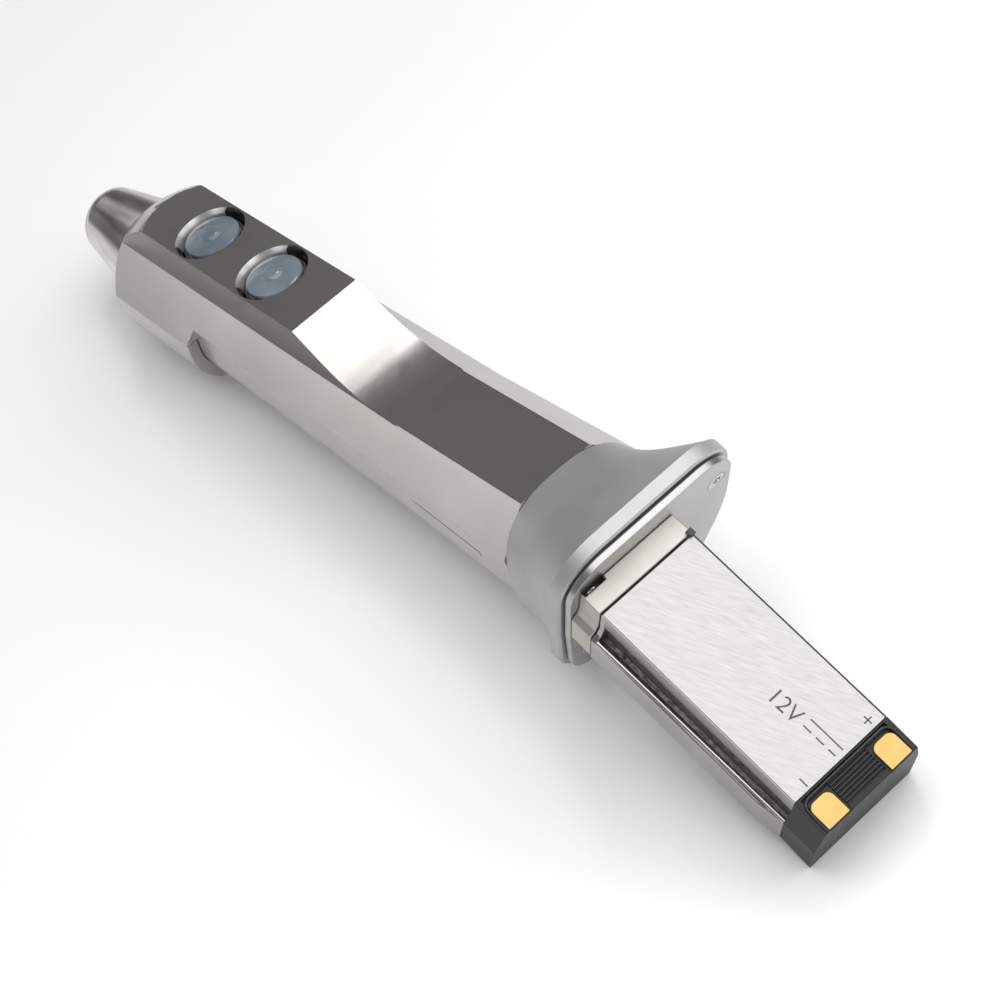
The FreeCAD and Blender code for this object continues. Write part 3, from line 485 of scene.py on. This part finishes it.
blasted, tree, shader, place = node_shader("blasted_aluminium")
fine = speckle(tree, place, (2600, 2600, 2600), 2.0)
broad = speckle(tree, place, (60, 60, 60), 3.0)
tree.links.new(two_tone(tree, broad, (0.42, 0.42, 0.42), (0.50, 0.50, 0.50)), shader.inputs["Base Color"])
tree.links.new(spread(tree, fine, 0.46, 0.58), shader.inputs["Roughness"])
relief(tree, shader, fine, 0.006 * mm)
shader.inputs["Metallic"].default_value = 0.8
eased("hand_stop", "handle", 0.25 * mm, blasted, 32.0)

# Seals: the gasket between the hand stop and the end plate is die cut from black silicone sheet.
# The nose seal and the rings under the two buttons are moulded from the same rubber.

seal_and_gap_shade_black, tree, shader, place = node_shader("seal_and_gap_shade_black")
grit = speckle(tree, place, (1500, 1500, 1500))
tree.links.new(two_tone(tree, grit, (0.03, 0.03, 0.03), (0.06, 0.06, 0.06)), shader.inputs["Base Color"])
tree.links.new(spread(tree, grit, 0.35, 0.55), shader.inputs["Roughness"])
eased("stop_gasket", "handle", 0.1 * mm, seal_and_gap_shade_black)
eased("nose_seal", "handle", 0.0, seal_and_gap_shade_black)
for node in ("front_button_seal", "rear_button_seal"):
    eased(node, "handle", 0.08 * mm, seal_and_gap_shade_black)

# End plate: ground stainless steel plate with a rounded bright edge. It closes the rear of the
# handle, clamps the gasket against the hand stop, and is held by four screws.

plate_steel = ground_steel("plate_steel", (0.38, 0.38, 0.38), (0.46, 0.46, 0.46), 0.32,
                           (500, 40, 500), 0.002 * mm)
eased("end_plate", "handle", 0.25 * mm, plate_steel)

# Dock collar: polished steel sleeve that takes the pack's tongue, with a small black catch at
# the right-hand end of the joint.

collar_steel = ground_steel("collar_steel", (0.46, 0.44, 0.41), (0.54, 0.52, 0.49), 0.48,
                            (300, 500, 500), 0.001 * mm)
collar = eased("dock_collar", "handle", 0.25 * mm, collar_steel)
pack_lean = 27.3
pack_mouth = (195.0, -6.1, 15.5)
pack_turn = Matrix.Rotation(math.radians(pack_lean), 4, "Y")
pack_place = Matrix.Translation(Vector(pack_mouth) * mm) @ pack_turn
to_pack = pack_place.inverted()
notch_ends = (-2.9, -2.0)
notch_sides = (-9.95, -4.85)
notch_floor = -4.9
notch_back = 1.1
for vertex in collar.data.vertices:
    spot = to_pack @ vertex.co / mm
    along = notch_ends[0] < spot.x < notch_ends[1]
    if along and notch_sides[0] < spot.y < notch_sides[1] and spot.z > notch_floor:
        spot.x -= notch_back
        vertex.co = pack_place @ (spot * mm)
catch_black, tree, shader, place = node_shader("catch_black")
grit = speckle(tree, place, (900, 900, 900))
tree.links.new(two_tone(tree, grit, (0.02, 0.02, 0.022), (0.05, 0.05, 0.055)), shader.inputs["Base Color"])
tree.links.new(spread(tree, grit, 0.35, 0.55), shader.inputs["Roughness"])
eased("dock_catch", "handle", 0.1 * mm, catch_black)

# Pack shell: a steel extrusion, satin on its lower faces, with a dark cast texture in the two long
# side grooves, their darkness partly painted shade, and a polished half-round rail under each.

lean = pack_turn.to_euler()
groove_ends = (1.2, 41.69)
groove_sides = (9.5, 11.62)
groove_heights = (-8.3, -3.55)
plate_side = 9.7
strip_floor = -0.6
shell_steel = ground_steel("shell_steel", (0.34, 0.33, 0.315), (0.46, 0.45, 0.43), 0.3,
                           (12, 700, 700), 0.003 * mm, lean)
# The grooves' rough cast texture is real; their dark colour is partly painted shade of the recess.
groove_cast_and_shade, tree, shader, place = node_shader("groove_cast_and_shade")
pits = speckle(tree, place, (900, 1400, 1400), 5.0, lean)
tree.links.new(two_tone(tree, pits, (0.05, 0.048, 0.045), (0.40, 0.38, 0.36)), shader.inputs["Base Color"])
tree.links.new(spread(tree, pits, 0.3, 0.55), shader.inputs["Roughness"])
relief(tree, shader, pits, 0.05 * mm)
shader.inputs["Metallic"].default_value = 0.8
shell = eased("pack_shell", "pack", 0.2 * mm, shell_steel)


def in_a_groove(centre, normal):
    """True for a face inside one of the shell's two side grooves."""
    spot = to_pack @ (centre * mm) / mm
    along = groove_ends[0] < spot.x < groove_ends[1]
    deep = groove_sides[0] < abs(spot.y) < groove_sides[1]
    return along and deep and groove_heights[0] < spot.z < groove_heights[1]


paint_where(shell, groove_cast_and_shade, in_a_groove)


def right_of_the_plate(centre, normal):
    """True for the narrow strip of the shell on the right of the plate, painted black as the shade of the
    gap there.
    """
    spot = to_pack @ (centre * mm) / mm
    return groove_ends[0] < spot.x < groove_ends[1] and spot.y > plate_side and spot.z > strip_floor


# The strip right of the plate gets the black rubber colour as painted shade of the gap beside the plate.
paint_where(shell, seal_and_gap_shade_black, right_of_the_plate)
rail_steel = ground_steel("rail_steel", (0.42, 0.41, 0.39), (0.56, 0.55, 0.53), 0.22,
                          (12, 500, 500), 0.001 * mm, lean)
eased("pack_rails", "pack", 0.0, rail_steel)

# Plate on the pack: thin stainless sheet, brushed across at a slant, with generic marks etched
# dark: the voltage, the line and dashes of direct current, and the two poles.

brush_slant = 25
mark_height = 0.012 * mm
stroke = 0.24
word_size = 3.85
word_thinner = 0.015
word_place = (26.9, -1.15)
direct_line = [((34.15, 1.36), (40.85, 1.36))]
direct_dashes = [((34.05, -0.17), (35.7, -0.17)), ((36.7, -0.17), (38.35, -0.17)),
                 ((39.3, -0.17), (40.75, -0.17))]
minus_sign = [((39.5, -6.6), (41.2, -6.6))]
plus_sign = [((39.35, 7.5), (40.95, 7.5)), ((40.15, 6.7), (40.15, 8.3))]
plate_sheet, tree, shader, place = node_shader("plate_sheet")
slant = (pack_turn @ Matrix.Rotation(math.radians(brush_slant), 4, "Z")).to_euler()
fine = speckle(tree, place, (300, 6000, 6000), 3.0, slant)
broad = speckle(tree, place, (330, 3800, 3800), 5.0, slant)
tint = two_tone(tree, broad, (0.37, 0.363, 0.352), (0.44, 0.432, 0.42))
tree.links.new(tint, shader.inputs["Base Color"])
tree.links.new(spread(tree, fine, 0.34, 0.46), shader.inputs["Roughness"])
relief(tree, shader, fine, 0.0015 * mm)
shader.inputs["Metallic"].default_value = 1.0
eased("pack_label_plate", "pack", 0.08 * mm, plate_sheet)

etched, tree, shader, place = node_shader("etched_marks")
grit = speckle(tree, place, (4000, 4000, 4000))
ink = two_tone(tree, grit, (0.045, 0.045, 0.045), (0.085, 0.085, 0.085))
tree.links.new(ink, shader.inputs["Base Color"])
shader.inputs["Roughness"].default_value = 0.5
word = bpy.data.curves.new("volts", "FONT")
word.body = "12V"
word.size = word_size * mm
word.extrude = mark_height
word.offset = -word_thinner * mm
word_object = bpy.data.objects.new("volts", word)
bpy.context.collection.objects.link(word_object)
bpy.context.view_layer.update()
whole = bpy.context.evaluated_depsgraph_get()
marks = bmesh.new()
letters = bpy.data.meshes.new_from_object(word_object.evaluated_get(whole))
letters.transform(Matrix.Translation(Vector((*word_place, 0)) * mm))
marks.from_mesh(letters)
bpy.data.objects.remove(word_object)
for (x0, y0), (x1, y1) in direct_line + direct_dashes + minus_sign + plus_sign:
    half = stroke / 2
    grow_x, grow_y = (half, 0) if x0 == x1 else (0, half)
    corners = ((x0 - grow_x, y0 - grow_y), (x1 + grow_x, y0 - grow_y), (x1 + grow_x, y1 + grow_y),
               (x0 - grow_x, y1 + grow_y))
    low = [marks.verts.new(Vector((x, y, 0)) * mm) for x, y in corners]
    high = [marks.verts.new((v.co.x, v.co.y, mark_height)) for v in low]
    marks.faces.new(high)
    marks.faces.new(low[::-1])
    for k in range(4):
        marks.faces.new((low[k], low[(k + 1) % 4], high[(k + 1) % 4], high[k]))
mesh = bpy.data.meshes.new("pole_and_voltage_marks")
marks.to_mesh(mesh)
marks.free()
mesh.transform(pack_place @ Matrix.Translation((0, 0, 0.004 * mm)))
mesh.materials.clear()
mesh.materials.append(etched)
piece = bpy.data.objects.new("pole_and_voltage_marks", mesh)
bpy.context.collection.objects.link(piece)
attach(piece, "pack")

# End cap of the pack: moulded black plastic, closed over the cells, with gold-plated pads in a
# shallow tray for the charger. A glossy bead runs round the tray; fine ribs keep the pads apart.

cap_black, tree, shader, place = node_shader("cap_black")
grit = speckle(tree, place, (1200, 1200, 1200), 4.0)
tint = two_tone(tree, grit, (0.010, 0.0105, 0.011), (0.020, 0.021, 0.022))
tree.links.new(tint, shader.inputs["Base Color"])
tree.links.new(spread(tree, grit, 0.38, 0.5), shader.inputs["Roughness"])
shader.inputs["Specular IOR Level"].default_value = 0.3
relief(tree, shader, grit, 0.008 * mm)
eased("pack_end_cap", "pack", 0.22 * mm, cap_black)
bead_black, tree, shader, place = node_shader("bead_black")
grit = speckle(tree, place, (900, 900, 900))
tint = two_tone(tree, grit, (0.006, 0.006, 0.007), (0.012, 0.012, 0.013))
tree.links.new(tint, shader.inputs["Base Color"])
tree.links.new(spread(tree, grit, 0.16, 0.24), shader.inputs["Roughness"])

tray_front, tray_rear, tray_half = 42.45, 48.05, 9.3
tray_corner, tray_bead = 1.6, 0.24
seam_place, seam_top, seam_foot, seam_bead = 48.13, -0.9, -15.6, 0.11
bead, start, end = recipe_tree("bead_on_a_path", [("Corner radius", "Float"), ("Bead radius", "Float"),
                                                  ("Material", "Material")])
path = feed(bead, "GeometryNodeMeshToCurve", {"Mesh": start.outputs["Geometry"]}).outputs[0]
path = feed(bead, "GeometryNodeFilletCurve",
            {"Curve": path, "Count": 8, "Radius": start.outputs["Corner radius"]}, mode="POLY").outputs[0]
section_ring = feed(bead, "GeometryNodeCurvePrimitiveCircle",
                    {"Resolution": 12, "Radius": start.outputs["Bead radius"]})
tube = feed(bead, "GeometryNodeCurveToMesh",
            {"Curve": path, "Profile Curve": section_ring.outputs[0], "Fill Caps": True})
finish_tree(bead, tube.outputs[0], start, end)
tray_path = [(tray_rear, -tray_half, -0.46), (tray_front, -tray_half, -0.06),
             (tray_front, tray_half, -0.06), (tray_rear, tray_half, -0.46)]
grown("tray_bead", "pack", outline_mesh("tray_path", tray_path, True), bead,
      {"Corner radius": tray_corner * mm, "Bead radius": tray_bead * mm, "Material": bead_black},
      pack_place)
for name, y in (("left_end_seam", -6.6), ("right_end_seam", 3.4)):
    seam_path = [(seam_place, y, seam_top), (seam_place, y, seam_foot)]
    grown(name, "pack", outline_mesh(name, seam_path, True), bead,
          {"Corner radius": 0.0, "Bead radius": seam_bead * mm, "Material": bead_black}, pack_place)

rib_row, start, end = recipe_tree("row_of_ribs", [
    ("Count", "Int"), ("First rib", "Vector"), ("Step", "Vector"), ("Rib end", "Vector"),
    ("Rib radius", "Float"), ("Material", "Material")])
row = feed(rib_row, "GeometryNodeMeshLine", {
    "Count": start.outputs["Count"], "Start Location": start.outputs["First rib"],
    "Offset": start.outputs["Step"]})
spine = feed(rib_row, "GeometryNodeCurvePrimitiveLine",
             {"Start": (0, 0, 0), "End": start.outputs["Rib end"]})
ring = feed(rib_row, "GeometryNodeCurvePrimitiveCircle",
            {"Resolution": 10, "Radius": start.outputs["Rib radius"]})
rib = feed(rib_row, "GeometryNodeCurveToMesh",
           {"Curve": spine.outputs[0], "Profile Curve": ring.outputs[0], "Fill Caps": True})
ribs = feed(rib_row, "GeometryNodeInstanceOnPoints", {"Points": row.outputs[0], "Instance": rib.outputs[0]})
finish_tree(rib_row, ribs.outputs[0], start, end)
rib_rows = [("middle_ribs", 7, (42.63, -4.0, -0.66), 0.656, 8.0, 0.19),
            ("left_comb", 9, (43.9, -9.1, -0.62), 0.45, 0.5, 0.12),
            ("right_comb", 9, (43.9, 8.6, -0.62), 0.45, 0.5, 0.12)]
for name, count, first, step, length, radius in rib_rows:
    grown(name, "pack", outline_mesh(name, [(0, 0, 0)]), rib_row,
          {"Count": count, "First rib": Vector(first) * mm, "Step": Vector((step, 0, 0)) * mm,
           "Rib end": Vector((0, length, 0)) * mm, "Rib radius": radius * mm, "Material": bead_black},
          pack_place)

gold, tree, shader, place = node_shader("gold_plate")
grit = speckle(tree, place, (300, 300, 300), 5.0)
tree.links.new(two_tone(tree, grit, (0.45, 0.295, 0.10), (0.54, 0.365, 0.14)), shader.inputs["Base Color"])
tree.links.new(spread(tree, grit, 0.28, 0.42), shader.inputs["Roughness"])
shader.inputs["Metallic"].default_value = 1.0
pads = eased("pack_contact_pads", "pack", 0.06 * mm, gold)
pad_ends, pad_reach = (43.15, 47.75), (43.4, 48.0)
pad_spread = 0.35
for vertex in pads.data.vertices:
    spot = to_pack @ vertex.co / mm
    share = (spot.x - pad_ends[0]) / (pad_ends[1] - pad_ends[0])
    spot.x = pad_reach[0] + share * (pad_reach[1] - pad_reach[0])
    spot.y += math.copysign(pad_spread, spot.y)
    vertex.co = pack_place @ (spot * mm)
eased("pack_inner_contacts", "pack", 0.06 * mm, gold)
eased("dock_spring_pins", "handle", 0.1 * mm, gold)
eased("motor_terminals", "handle", 0.05 * mm, gold)

# Screws of the end plate: four small countersunk screws of stainless steel, with a six-lobed
# recess. One recipe turns a single screw and sets it in the plate's four holes.

screw_steel = ground_steel("screw_steel", (0.45, 0.44, 0.43), (0.6, 0.59, 0.58), 0.22,
                           (300, 300, 300), 0.001 * mm)
screw_places = [(-4.35, 20.0, -3.0), (-4.35, -7.4, -2.2), (-4.35, 15.5, -27.0), (-4.35, -7.4, -27.0)]
screw_outline = [(-5.0, 0), (-5.0, 1.0), (-0.9, 1.0), (-0.14, 1.74), (-0.06, 1.78), (-0.02, 1.7),
                 (-0.02, 0.98), (-0.12, 0.9), (-0.5, 0.84), (-0.62, 0)]
lobe_depth, lobed_within = 0.14, 0.99
screws, start, end = recipe_tree("four_screws",
                                 lathe_sizes + [("Place %d" % k, "Vector") for k in range(1, 5)])
head = turned_shape(screws, start)
spots = screws.nodes.new("GeometryNodeJoinGeometry")
for k in range(1, 5):
    spot = feed(screws, "GeometryNodeMeshLine",
                {"Count": 1, "Start Location": start.outputs["Place %d" % k]})
    screws.links.new(spot.outputs[0], spots.inputs[0])
set_in = feed(screws, "GeometryNodeInstanceOnPoints", {"Points": spots.outputs[0], "Instance": head})
finish_tree(screws, set_in.outputs[0], start, end)
sizes = {"Outline points": len(screw_outline), "Turn steps": 48, "Lobe depth": lobe_depth,
         "Lobed within": lobed_within * mm, "Material": screw_steel}
sizes.update({"Place %d" % k: Vector(spot) * mm for k, spot in enumerate(screw_places, 1)})
screw_seed = outline_mesh("screw_outline", screw_outline)
four = grown("end_plate_four_screws", "handle", screw_seed, screws, sizes, pack_place, 25.0)
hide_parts("end_plate_screws")

# Drive inside the handle: ground gears, races, spindle and motor, and the moulded and wound
# pieces round them. They keep their machined edges.

gear_steel = ground_steel("gear_steel", (0.34, 0.34, 0.35), (0.48, 0.48, 0.49), 0.3,
                          (60, 500, 500), 0.002 * mm)
for node in ("output_spindle", "detent_balls", "detent_spring_ring", "front_bearing", "front_bearing_inner",
             "rear_bearing", "rear_bearing_inner", "ring_gear", "first_carrier", "motor_rotor", "motor_can",
             *("%s_planet_%d" % (stage, k) for stage in ("first", "second") for k in (1, 2, 3))):
    solids[node].data.materials.clear()
    solids[node].data.materials.append(gear_steel)
for node in ("front_button_stem", "rear_button_stem", "front_switch", "rear_switch", "dock_contact_block",
             "motor_end_bell", "control_chips", "motor_magnets"):
    solids[node].data.materials.clear()
    solids[node].data.materials.append(catch_black)

# Boards and cells: green solder mask over glass cloth, and cells in a blue shrink sleeve. The
# boards lie inside the handle, the cells inside the pack.

mask_green, tree, shader, place = node_shader("mask_green")
cloth = speckle(tree, place, (2500, 2500, 2500))
tree.links.new(two_tone(tree, cloth, (0.01, 0.10, 0.04), (0.02, 0.16, 0.07)), shader.inputs["Base Color"])
shader.inputs["Roughness"].default_value = 0.3
sleeve_blue, tree, shader, place = node_shader("sleeve_blue")
sheen = speckle(tree, place, (80, 80, 80))
tree.links.new(two_tone(tree, sheen, (0.05, 0.13, 0.30), (0.08, 0.19, 0.40)), shader.inputs["Base Color"])
shader.inputs["Roughness"].default_value = 0.28
for node, finish in (("switch_board", mask_green), ("control_board", mask_green),
                     ("battery_cells", sleeve_blue)):
    solids[node].data.materials.clear()
    solids[node].data.materials.append(finish)
